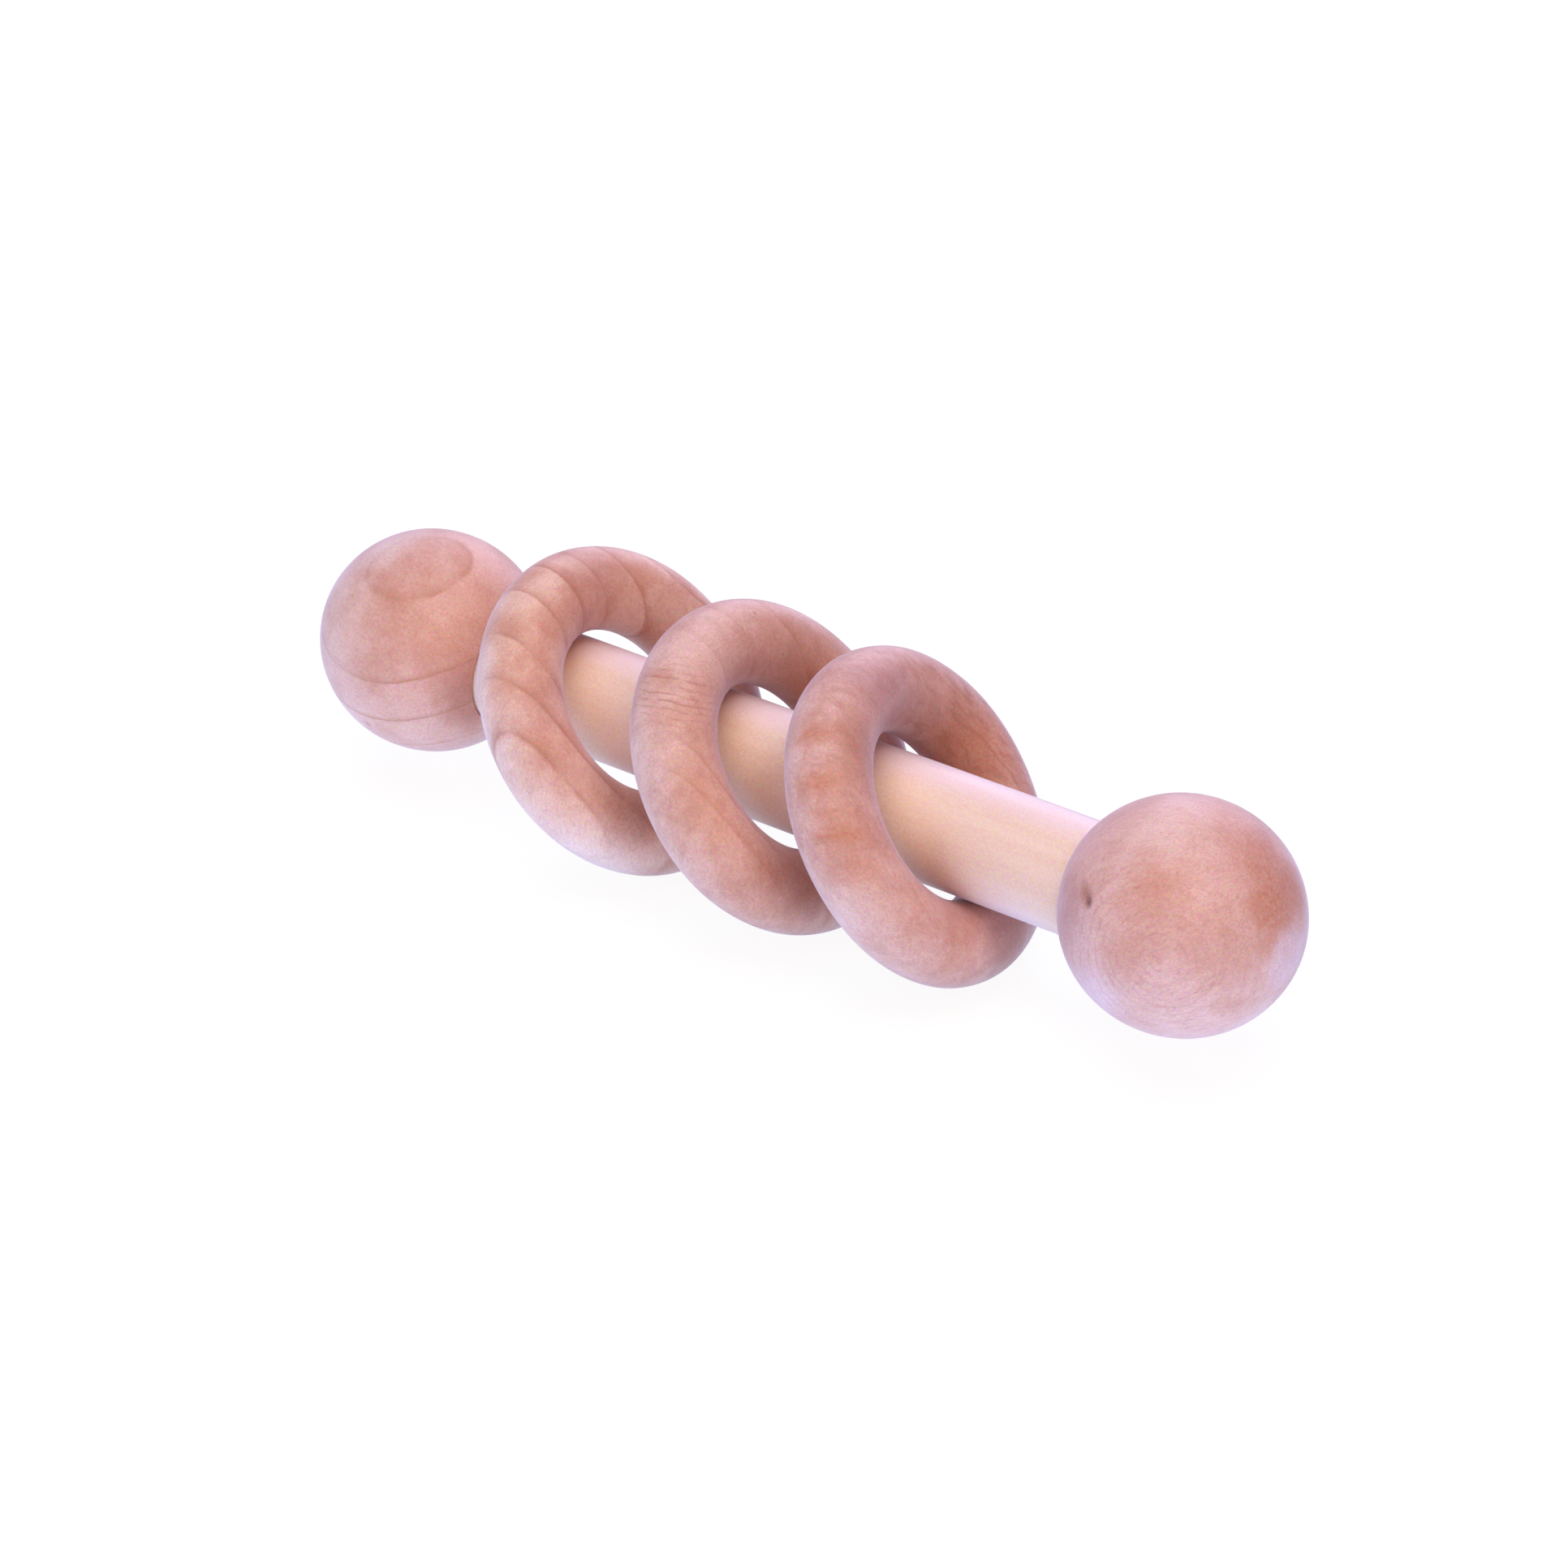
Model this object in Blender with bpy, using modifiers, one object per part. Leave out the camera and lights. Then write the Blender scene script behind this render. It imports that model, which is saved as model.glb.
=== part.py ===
"""A wooden baby rattle: a dowel handle with a ball glued on each end and three loose rings that slide along it.

The rattle lies on a table. Its rings lean as far as the dowel lets them and carry it, so the balls stay off the table.
X runs along the dowel towards the front ball, Z points up, and Z = 0 is the table. Lengths are in metres.
"""

import math

import bpy
import numpy as np
from mathutils import Matrix, Vector

MM = 0.001

# The turned pieces. A ball is a little longer along the dowel than across it.
BALL_DIAMETER = 38.1 * MM
BALL_LENGTH = 39.4 * MM
DOWEL_DIAMETER = 19.2 * MM
RING_DIAMETER = 57.15 * MM
RING_STOCK = 14.1 * MM

# How the dowel is glued into a ball.
SOCKET_DEPTH = 18.0 * MM
SOCKET_GLUE_GAP = 0.15 * MM
SOCKET_FLOOR_GAP = 0.4 * MM
SOCKET_MOUTH_EASE = 0.25 * MM
DOWEL_CHAMFER = 1.2 * MM

# How the rings lie on the dowel: each one's turn about the dowel, and its lift off the dowel's axis by the table.
# Each play is free travel before two neighbours touch.
RING_RUNNING_GAP = 0.3 * MM
FRONT_RING_TURN = math.radians(-15.0)
MIDDLE_RING_TURN = math.radians(-4.0)
BACK_RING_TURN = math.radians(0.0)
FRONT_RING_LIFT = 0.4 * MM
MIDDLE_RING_LIFT = -0.15 * MM
BACK_RING_LIFT = 0.0 * MM
BACK_BALL_PLAY = 7.45 * MM
BACK_MIDDLE_PLAY = 12.0 * MM
MIDDLE_FRONT_PLAY = 8.55 * MM
FRONT_BALL_PLAY = 16.6 * MM

# Facets.
TURNED_STEPS = 48
BALL_STEPS = 24
RING_STEPS = 60
STOCK_STEPS = 24
WELD = 0.001 * MM

# Finishes: base colour and roughness. The dowel is a paler wood than the balls and the rings.
BALL_FINISH = ((0.66, 0.36, 0.29), 0.5)
RING_FINISH = ((0.60, 0.31, 0.24), 0.5)
DOWEL_FINISH = ((0.80, 0.55, 0.43), 0.55)

ball_radius = BALL_DIAMETER / 2
ball_reach = BALL_LENGTH / 2
dowel_radius = DOWEL_DIAMETER / 2
stock_radius = RING_STOCK / 2
ring_radius = RING_DIAMETER / 2 - stock_radius
socket_radius = dowel_radius + SOCKET_GLUE_GAP

front_pose = (FRONT_RING_TURN, FRONT_RING_LIFT)
middle_pose = (MIDDLE_RING_TURN, MIDDLE_RING_LIFT)
back_pose = (BACK_RING_TURN, BACK_RING_LIFT)


def ring_lean(lift):
    """A ring leans until its stock meets the dowel, from above at one end of the bore and from below at the other."""
    return math.acos((dowel_radius + stock_radius + RING_RUNNING_GAP + abs(lift)) / ring_radius)


def ring_placement(pose):
    """A ring's lean, with its top towards the back ball, and its lift, both turned about the dowel."""
    turn, lift = pose
    about_dowel = Matrix.Rotation(turn, 3, "X")
    rotation = about_dowel @ Matrix.Rotation(math.pi / 2 - ring_lean(lift), 3, "Y")
    return rotation, about_dowel @ Vector((0.0, 0.0, lift))


def stock_line(pose):
    """Points along the middle of a ring's stock, from the ring's place on the dowel's axis."""
    rotation, offset = ring_placement(pose)
    angle = np.linspace(0, 2 * math.pi, 360, endpoint=False)
    flat = ring_radius * np.stack([np.cos(angle), np.sin(angle), np.zeros_like(angle)], axis=1)
    return flat @ np.array(rotation).T + np.array(offset)


def touching_rings(pose_behind, pose_ahead):
    """How far apart two leaning rings stand along the dowel when their stock touches."""
    behind = stock_line(pose_behind)[:, None, :]
    ahead = stock_line(pose_ahead)[None, :, :]
    across = ((behind[..., 1:] - ahead[..., 1:]) ** 2).sum(axis=2)
    along = np.sqrt(np.maximum(RING_STOCK**2 - across, 0))
    apart = behind[..., 0] - ahead[..., 0] + along
    return float(apart[across < RING_STOCK**2].max())


def touching_ball(pose, side):
    """How far a leaning ring stands from a ball's centre when the two touch, on the front (1) or back (-1) side."""
    reach = max(ball_radius, ball_reach) + stock_radius
    line = stock_line(pose)
    across = (line[:, 1:] ** 2).sum(axis=1)
    along = np.sqrt(np.maximum(reach**2 - across, 0))
    return float((side * line[:, 0] + along)[across < reach**2].max())


def lowest_point(pose):
    """How far a leaning ring reaches below the dowel's axis."""
    return float(-stock_line(pose)[:, 2].min()) + stock_radius


# Places along the dowel, counted from the back ball's centre.
back_ring_place = touching_ball(back_pose, -1) + BACK_BALL_PLAY
middle_ring_place = back_ring_place + touching_rings(back_pose, middle_pose) + BACK_MIDDLE_PLAY
front_ring_place = middle_ring_place + touching_rings(middle_pose, front_pose) + MIDDLE_FRONT_PLAY
ball_spacing = front_ring_place + touching_ball(front_pose, 1) + FRONT_BALL_PLAY
axis_height = max(lowest_point(pose) for pose in (front_pose, middle_pose, back_pose))

# A ball's heights, counted from its centre towards its outer end. The socket opens on the other side.
mouth_radius = socket_radius + SOCKET_MOUTH_EASE
mouth_height = -ball_reach * math.sqrt(1 - (mouth_radius / ball_radius) ** 2)
floor_height = mouth_height + SOCKET_DEPTH
dowel_length = ball_spacing + 2 * (floor_height - SOCKET_FLOOR_GAP)


def clear_scene():
    for old in list(bpy.data.objects):
        bpy.data.objects.remove(old)


def collection(name):
    made = bpy.data.collections.new(name)
    bpy.context.scene.collection.children.link(made)
    return made


def finish(obj, colour_and_roughness):
    """A wood finish of the piece's own."""
    colour, roughness = colour_and_roughness
    material = bpy.data.materials.new(obj.name + "_wood")
    material.use_nodes = True
    shader = material.node_tree.nodes["Principled BSDF"]
    shader.inputs["Base Color"].default_value = (*colour, 1.0)
    shader.inputs["Roughness"].default_value = roughness
    shader.inputs["Metallic"].default_value = 0.0
    obj.data.materials.append(material)


def smooth(obj, angle):
    """Smooth shading that keeps the edges sharper than the angle."""
    bpy.context.view_layer.objects.active = obj
    obj.data.shade_smooth()
    obj.data.set_sharp_from_angle(angle=angle)


def turned(name, profile, group):
    """A piece turned on a lathe: the profile's points (radius, height) run from top to bottom."""
    mesh = bpy.data.meshes.new(name)
    points = [(radius, 0.0, height) for radius, height in profile]
    edges = [(i, i + 1) for i in range(len(points) - 1)]
    mesh.from_pydata(points, edges, [])
    obj = bpy.data.objects.new(name, mesh)
    group.objects.link(obj)
    lathe = obj.modifiers.new("lathe", "SCREW")
    lathe.axis = "Z"
    lathe.angle = 2 * math.pi
    lathe.steps = TURNED_STEPS
    lathe.render_steps = TURNED_STEPS
    lathe.use_merge_vertices = True
    lathe.merge_threshold = WELD
    lathe.use_smooth_shade = True
    return obj


def ball_profile():
    """An elliptic ball from its outer end to the socket's eased mouth, then the socket's wall and flat floor."""
    mouth_angle = math.acos(mouth_height / ball_reach)
    points = [(0.0, ball_reach)]
    for step in range(1, BALL_STEPS + 1):
        angle = mouth_angle * step / BALL_STEPS
        points.append((ball_radius * math.sin(angle), ball_reach * math.cos(angle)))
    points.append((socket_radius, mouth_height + SOCKET_MOUTH_EASE))
    points.append((socket_radius, floor_height))
    points.append((0.0, floor_height))
    return points


def make_ball(name, place, outward):
    """A ball at its place along the dowel, with its socket away from the outward direction."""
    ball = turned(name, ball_profile(), parts)
    ball.parent = handle_axis
    ball.location = (place, 0.0, 0.0)
    ball.rotation_euler = (0.0, outward * math.pi / 2, 0.0)
    finish(ball, BALL_FINISH)
    return ball


def make_dowel():
    half = dowel_length / 2
    profile = [
        (0.0, half),
        (dowel_radius - DOWEL_CHAMFER, half),
        (dowel_radius, half - DOWEL_CHAMFER),
        (dowel_radius, DOWEL_CHAMFER - half),
        (dowel_radius - DOWEL_CHAMFER, -half),
        (0.0, -half),
    ]
    dowel = turned("dowel", profile, parts)
    dowel.parent = handle_axis
    dowel.rotation_euler = (0.0, math.pi / 2, 0.0)
    finish(dowel, DOWEL_FINISH)
    return dowel


def make_ring(name, place, pose):
    """A loose ring of round stock at its place along the dowel."""
    rotation, offset = ring_placement(pose)
    bpy.ops.mesh.primitive_torus_add(
        major_radius=ring_radius,
        minor_radius=stock_radius,
        major_segments=RING_STEPS,
        minor_segments=STOCK_STEPS,
    )
    ring = bpy.context.object
    ring.name = name
    ring.data.name = name
    for group in list(ring.users_collection):
        group.objects.unlink(ring)
    parts.objects.link(ring)
    ring.parent = handle_axis
    ring.location = Vector((place, 0.0, 0.0)) + offset
    ring.rotation_mode = "QUATERNION"
    ring.rotation_quaternion = rotation.to_quaternion()
    smooth(ring, math.radians(60))
    finish(ring, RING_FINISH)
    return ring


clear_scene()
parts = collection("baby_rattle")
handle_axis = bpy.data.objects.new("handle_axis", None)
handle_axis.location = (0.0, 0.0, axis_height)
handle_axis.empty_display_size = dowel_radius
parts.objects.link(handle_axis)

middle = ball_spacing / 2
make_dowel()
make_ball("ball_front", middle, 1)
make_ball("ball_back", -middle, -1)
make_ring("ring_front", front_ring_place - middle, front_pose)
make_ring("ring_middle", middle_ring_place - middle, middle_pose)
make_ring("ring_back", back_ring_place - middle, back_pose)

bpy.context.view_layer.update()
print(f"dowel axis {axis_height / MM:.2f} mm above the table")
print(f"ball spacing {ball_spacing / MM:.2f} mm, dowel {dowel_length / MM:.2f} mm long")
for name, pose in (("ring_front", front_pose), ("ring_middle", middle_pose), ("ring_back", back_pose)):
    place = bpy.data.objects[name].matrix_world.translation.x / MM
    lean = math.degrees(ring_lean(pose[1]))
    print(f"{name} stands at x = {place:.2f} mm and leans {lean:.1f} degrees")
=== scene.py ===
# %% [markdown]
# # A wooden baby rattle
# The toy is a round stick with a wooden ball glued on each end and three loose wooden rings
# that slide and click on the stick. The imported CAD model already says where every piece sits
# and how the rings move. This lesson gives those pieces their finish: finer turned shapes and
# a wood whose growth lines run right through each piece, as they do in a real block of timber.

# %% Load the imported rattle
import math

import bmesh
import bpy
import numpy as np
from mathutils import Matrix, Vector, noise


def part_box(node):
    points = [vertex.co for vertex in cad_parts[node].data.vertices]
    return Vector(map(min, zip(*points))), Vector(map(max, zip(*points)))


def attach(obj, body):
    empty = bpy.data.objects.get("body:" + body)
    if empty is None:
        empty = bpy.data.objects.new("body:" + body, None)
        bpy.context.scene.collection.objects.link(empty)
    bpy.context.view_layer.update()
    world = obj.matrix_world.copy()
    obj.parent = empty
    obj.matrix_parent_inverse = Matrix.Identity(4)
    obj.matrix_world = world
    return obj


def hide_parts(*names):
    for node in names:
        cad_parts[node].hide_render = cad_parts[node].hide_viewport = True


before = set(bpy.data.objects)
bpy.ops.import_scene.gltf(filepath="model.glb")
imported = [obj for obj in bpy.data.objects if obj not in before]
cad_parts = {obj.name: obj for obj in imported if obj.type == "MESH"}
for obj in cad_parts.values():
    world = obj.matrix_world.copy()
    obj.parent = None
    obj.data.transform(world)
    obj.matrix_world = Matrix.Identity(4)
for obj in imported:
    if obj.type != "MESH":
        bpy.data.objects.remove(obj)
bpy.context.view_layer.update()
MM = 0.001
scene = bpy.context.scene
scene.view_settings.view_transform = "Standard"

# %% [markdown]
# ## The camera
# The photograph looks down on the rattle from the front ball's side. A camera can be placed by
# hand, but five plain values describe it better: the point it looks at, how far away it is,
# how far it has gone round, how high it stands, and the lens. The lens is long, so that the
# two balls stay almost the same size.

# %% Place the camera
VIEW_CENTRE = Vector((-1.11, 0.0, 21.47)) * MM
VIEW_DISTANCE = 781.9 * MM
VIEW_ROUND = math.radians(36.51)
VIEW_HEIGHT = math.radians(29.99)
SENSOR = 36.0
PHOTO_SIDE = 1932
FOCAL_PIXELS = 5900

view_along = Vector((
    -math.sin(VIEW_ROUND) * math.cos(VIEW_HEIGHT),
    math.cos(VIEW_ROUND) * math.cos(VIEW_HEIGHT),
    -math.sin(VIEW_HEIGHT),
))
camera_data = bpy.data.cameras.new("photo_camera")
camera_data.sensor_width = SENSOR
camera_data.lens = SENSOR * FOCAL_PIXELS / PHOTO_SIDE
camera = bpy.data.objects.new("photo_camera", camera_data)
camera.location = VIEW_CENTRE - view_along * VIEW_DISTANCE
camera.rotation_euler = view_along.to_track_quat("-Z", "Y").to_euler()
scene.collection.objects.link(camera)
scene.camera = camera
print(f"camera with a {camera_data.lens:.1f} mm lens, {VIEW_DISTANCE / MM:.0f} mm away")

# %% [markdown]
# ## Writing node materials in short lines
# Every finish below is a tree of shader nodes. Adding nodes one by one takes many lines, so
# a few small helpers do it. `plug` either links a socket or writes a value on it, `node` adds
# one node, `sums` and `times` are Math nodes, `vectors` is a Vector Math node, and `between` is
# a Map Range node that eases from one value to another. Colours are given as screen
# values from 0 to 255, and `tone` turns them into the linear numbers that shaders use.
# `blank_finish` starts a material with an empty tree.

# %% Node helpers
def plug(tree, socket, value):
    if isinstance(value, bpy.types.NodeSocket):
        tree.links.new(value, socket)
    else:
        socket.default_value = value


def node(tree, kind, feeds, **settings):
    made = tree.nodes.new("ShaderNode" + kind)
    for key, setting in settings.items():
        setattr(made, key, setting)
    for key, value in feeds.items():
        plug(tree, made.inputs[key], value)
    return made


def sums(tree, operation, *values):
    return node(tree, "Math", dict(enumerate(values)), operation=operation).outputs[0]


def times(tree, value, amount):
    return sums(tree, "MULTIPLY", value, amount)


def vectors(tree, operation, *values):
    made = node(tree, "VectorMath", dict(enumerate(values)), operation=operation)
    one_number = operation in ("DOT_PRODUCT", "LENGTH", "DISTANCE")
    return made.outputs["Value" if one_number else "Vector"]


def between(tree, value, low, high, out_low=0.0, out_high=1.0):
    feeds = {0: value, 1: low, 2: high, 3: out_low, 4: out_high}
    return node(tree, "MapRange", feeds, interpolation_type="SMOOTHSTEP").outputs[0]


def tone(red, green, blue):
    shades = [shade / 255 for shade in (red, green, blue)]
    linear = [s / 12.92 if s <= 0.04045 else ((s + 0.055) / 1.055) ** 2.4 for s in shades]
    return (*linear, 1.0)


def blank_finish(name):
    finish = bpy.data.materials.new(name)
    finish.use_nodes = True
    finish.node_tree.nodes.clear()
    return finish, finish.node_tree


print("a mid wood tone in linear numbers:", [round(c, 3) for c in tone(210, 152, 142)])

# %% [markdown]
# ## A white studio
# The rattle lies on a bright white table that throws a cool light up under it, more from the
# front than from the back, and less from the patch that the rattle itself shades. Four large
# soft lamps stand in front, overhead, low on the left and behind, and the rest of the room is
# dim. A white background could be made by adding light until it burns out, but that would
# bleach the wood as well. Here the world and the table only look white to the camera, through
# the Light Path node, and the wood keeps a plain light level. The wood's gloss sees the white
# table and the dim room, so its lower edges shine and its upper edges stay dark. A small share
# of plain paper under the rattle keeps its shadow on the table.

# %% The world round the rattle
ROOM_LIGHT = 0.25
COOL_ROOM = (0.06, 0.06, 1.0, 1.0)
WHITE = (1.0, 1.0, 1.0, 1.0)


def seen_directly(tree, gloss):
    path = node(tree, "LightPath", {})
    camera_ray, through_ray = path.outputs["Is Camera Ray"], path.outputs["Is Transmission Ray"]
    direct = sums(tree, "MAXIMUM", camera_ray, through_ray)
    return sums(tree, "MAXIMUM", direct, path.outputs["Is Glossy Ray"]) if gloss else direct


world = bpy.data.worlds.new("white_studio")
world.use_nodes = True
world.node_tree.nodes.clear()
room = node(world.node_tree, "Background", {"Color": COOL_ROOM, "Strength": ROOM_LIGHT})
backdrop = node(world.node_tree, "Background", {"Color": WHITE, "Strength": 1.0})
both = node(world.node_tree, "MixShader", {
    0: seen_directly(world.node_tree, gloss=False), 1: room.outputs[0], 2: backdrop.outputs[0],
})
node(world.node_tree, "OutputWorld", {"Surface": both.outputs[0]})
scene.world = world
print("room light", ROOM_LIGHT)

# %% The white table
TABLE_SIDE = 6.0
PAPER = (0.95, 0.95, 0.95, 1.0)
PAPER_WHITE = 1.04
SHADOW_SHARE = 0.13
SHADOW_REACH = (0.25, 0.80)
COOL_TABLE = (0.52, 0.70, 1.0, 1.0)
TABLE_FRONT = (0.0, -1.0, 0.0)
BACK_LIGHT = 0.85
FRONT_LIGHT = 2.5
BACK_TO_FRONT = (-0.10, 0.02)
SHADED_SHARE = 0.46
SHADED_REACH = (0.012, 0.045)
ALONG_RATTLE = (0.4, 1.0, 0.0)


# Painted bounce light: the table glows for every ray but the camera's, brighter in front, with a painted
# shadow where the rattle lies.
def table_light(tree):
    spot = node(tree, "TexCoord", {}).outputs["Object"]
    forward = vectors(tree, "DOT_PRODUCT", spot, TABLE_FRONT)
    level = between(tree, forward, *BACK_TO_FRONT, BACK_LIGHT, FRONT_LIGHT)
    beside = vectors(tree, "LENGTH", vectors(tree, "MULTIPLY", spot, ALONG_RATTLE))
    return times(tree, level, between(tree, beside, *SHADED_REACH, SHADED_SHARE, 1.0))


def white_table_finish():
    finish, tree = blank_finish("white_table")
    paper = node(tree, "BsdfDiffuse", {"Color": PAPER})
    white = node(tree, "Emission", {"Color": WHITE, "Strength": PAPER_WHITE})
    away = vectors(tree, "LENGTH", node(tree, "TexCoord", {}).outputs["Object"])
    shadow = between(tree, away, *SHADOW_REACH, SHADOW_SHARE, 0.0)
    shown = node(tree, "MixShader", {0: shadow, 1: white.outputs[0], 2: paper.outputs[0]})
    table_glow = node(tree, "Emission", {"Color": COOL_TABLE, "Strength": table_light(tree)})
    both = node(tree, "MixShader", {
        0: seen_directly(tree, gloss=True), 1: table_glow.outputs[0], 2: shown.outputs[0],
    })
    node(tree, "OutputMaterial", {"Surface": both.outputs[0]})
    return finish


table_mesh = bpy.data.meshes.new("white_table")
half = TABLE_SIDE / 2
corners = [(-half, -half, 0.0), (half, -half, 0.0), (half, half, 0.0), (-half, half, 0.0)]
table_mesh.from_pydata(corners, [], [(0, 1, 2, 3)])
table = bpy.data.objects.new("white_table", table_mesh)
table_mesh.materials.append(white_table_finish())
scene.collection.objects.link(table)
print("table", TABLE_SIDE, "m square")

# %% Four soft lamps
def soft_lamp(name, place, side, power, colour):
    data = bpy.data.lights.new(name, "AREA")
    data.shape = "DISK"
    data.size = side
    data.energy = power
    data.color = colour
    lamp = bpy.data.objects.new(name, data)
    lamp.location = place
    lamp.visible_camera = False
    lamp.rotation_euler = (VIEW_CENTRE - lamp.location).to_track_quat("-Z", "Y").to_euler()
    scene.collection.objects.link(lamp)
    return lamp


front_lamp = soft_lamp("front_lamp", Vector((0.50, -0.50, 0.70)), 1.34, 6.5, (1.0, 0.72, 0.23))
overhead_lamp = soft_lamp("overhead_lamp", Vector((0.0, 0.0, 1.0)), 1.2, 9.8, (0.74, 0.89, 1.0))
left_lamp = soft_lamp("left_lamp", Vector((-0.94, -0.20, 0.25)), 0.5, 2.2, (0.61, 0.94, 1.0))
back_lamp = soft_lamp("back_lamp", Vector((-0.30, 0.85, 0.40)), 0.7, 5.1, (0.80, 0.78, 1.0))
print("lamps:", front_lamp.name, overhead_lamp.name, left_lamp.name, back_lamp.name)

# %% [markdown]
# ## Wood as a solid, not as a skin
# A ring or a ball is cut from a board, and the lines on it are where its surface crosses the
# tree's growth shells. Painting lines on the surface would take a picture and would stretch
# at the poles. So the material works in three dimensions instead: it takes each point's place
# in the piece in millimetres, measures how far that point is from the pith of the tree, and
# darkens it near the end of each year's growth. The lines then bend over the curved
# surface by themselves, in ovals on a ball and sweeping arcs on a ring. Three helpers work on a
# place in the block: `cloud` is a noise with cells of a given size, `wandering` shakes the place
# so that nothing runs too straight, and `drawn_out` stretches a pattern along the grain.

# %% Where a point lies in its block of wood
def place_in_block(tree):
    local = node(tree, "TexCoord", {}).outputs["Object"]
    return vectors(tree, "MULTIPLY", local, (1 / MM, 1 / MM, 1 / MM))


def cloud(tree, place, size, detail=2.0, rough=0.5, colour=False):
    made = node(tree, "TexNoise", {
        "Vector": place, "Scale": 1.0 / size, "Detail": detail, "Roughness": rough,
    })
    return made.outputs["Color" if colour else "Fac"]


def wandering(tree, place, size, amount):
    swing = vectors(tree, "SUBTRACT", cloud(tree, place, size, 1.0, colour=True), (0.5, 0.5, 0.5))
    return vectors(tree, "ADD", place, vectors(tree, "MULTIPLY", swing, (amount,) * 3))


def drawn_out(tree, place, grain, stretch):
    along = vectors(tree, "DOT_PRODUCT", place, grain)
    cut = times(tree, along, 1.0 - 1.0 / stretch)
    back = node(tree, "VectorMath", {0: grain, "Scale": cut}, operation="SCALE").outputs[0]
    return vectors(tree, "SUBTRACT", place, back)


print("helpers in the block:", cloud.__name__, wandering.__name__, drawn_out.__name__)

# %% [markdown]
# ## Growth lines
# In each year a tree first lays down pale wood and then slowly darker wood, and the next year
# starts pale again with a sharp edge. So every line has one crisp side and one side that fades.
# A wave texture could repeat this evenly, but real years differ, so `year_lines` takes a list
# of distances from the pith and draws one fading edge at each with a colour ramp. It gives two
# layers back: the soft band of late wood, and the thin edge line where the year ends.

# %% Distance from the pith, and the year lines
LINE_EDGE = 0.16
LATE_WOOD_POWER = 1.5
EDGE_LINE_POWER = 7.0
RAMP_STOPS = 32
STOPS_A_YEAR = 3


def from_pith(tree, place, pith, grain):
    reach = vectors(tree, "SUBTRACT", place, pith)
    along = vectors(tree, "DOT_PRODUCT", reach, grain)
    foot = node(tree, "VectorMath", {0: grain, "Scale": along}, operation="SCALE").outputs[0]
    return vectors(tree, "LENGTH", vectors(tree, "SUBTRACT", reach, foot))


def year_lines(tree, depth, years, fade):
    first, last = min(years) - 2 * abs(fade), max(years) + 2 * abs(fade)
    position = sums(tree, "DIVIDE", sums(tree, "SUBTRACT", depth, first), last - first)
    made = node(tree, "ValToRGB", {0: position})
    stops = made.color_ramp.elements
    stops[0].position, stops[0].color = 0.0, (0.0, 0.0, 0.0, 1.0)
    stops[-1].position, stops[-1].color = 1.0, (0.0, 0.0, 0.0, 1.0)
    edge = math.copysign(LINE_EDGE, fade)
    for year in years:
        for spot, dark in ((year - fade, 0.0), (year - edge, 1.0), (year + edge, 0.0)):
            stop = stops.new((spot - first) / (last - first))
            stop.color = (dark, dark, dark, 1.0)
    late_wood = sums(tree, "POWER", made.outputs["Color"], LATE_WOOD_POWER)
    edge_line = sums(tree, "POWER", made.outputs["Color"], EDGE_LINE_POWER)
    return late_wood, edge_line


print("a colour ramp has room for", (RAMP_STOPS - 2) // STOPS_A_YEAR, "years")

# %% [markdown]
# ## Mixing the layers
# The wood's colour is built up like a glaze: a pale and a deeper ground in soft clouds, then a
# mottle, the year lines, fine fibres along the grain, and small pores. Each layer is mixed over
# the last with a Mix node. `patch` gives a soft round area for the marks that have their own
# place, such as a knot.

# %% Layer helpers
def glaze(tree, amount, under, over, blend="MIX"):
    made = node(tree, "Mix", {0: amount, 6: under, 7: over}, data_type="RGBA", blend_type=blend)
    return made.outputs[2]


def patch(tree, place, centre, radius, soft):
    away = vectors(tree, "DISTANCE", place, centre)
    return between(tree, away, radius - soft, radius + soft, 1.0, 0.0)


print("layer helpers:", glaze.__name__, patch.__name__)

# %% [markdown]
# ## The wood shared by rings and balls
# Rings and balls are turned from the same kind of pink-tan, close-grained timber, rubbed smooth
# and left with a thin satin wipe of oil. One function makes that timber, and each piece passes
# in its own pith, years and stains, because no two blocks came from the same place in the tree.
# Stains that the years run over go in as `ground`, and stains that cover the years go in as
# `marks`. Sheen stands for the fine fibre ends that catch light at the edges.

# %% Rubbed and oiled wood
SPECKLE_SIZE = 0.42
SPECKLE_ROUGH = 0.8
BUMP_HEIGHT = 0.15 * MM
OIL_SHINE = 0.4
SHEEN_ROUGH = 0.4


def speckled(tree, place, colour, share):
    speckle = cloud(tree, place, SPECKLE_SIZE, rough=SPECKLE_ROUGH, colour=True)
    return glaze(tree, share, colour, speckle, blend="OVERLAY")


def oiled_surface(tree, colour, roughness, relief, depth, sheen, sheen_tint):
    bump = node(tree, "Bump", {"Height": relief, "Strength": depth, "Distance": BUMP_HEIGHT})
    shader = node(tree, "BsdfPrincipled", {
        "Base Color": colour, "Roughness": roughness, "Normal": bump.outputs[0],
        "Specular IOR Level": OIL_SHINE, "Sheen Weight": sheen, "Sheen Roughness": SHEEN_ROUGH,
        "Sheen Tint": sheen_tint,
    })
    node(tree, "OutputMaterial", {"Surface": shader.outputs[0]})


print("speckles of", SPECKLE_SIZE, "mm, bumps up to", BUMP_HEIGHT / MM, "mm")

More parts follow.
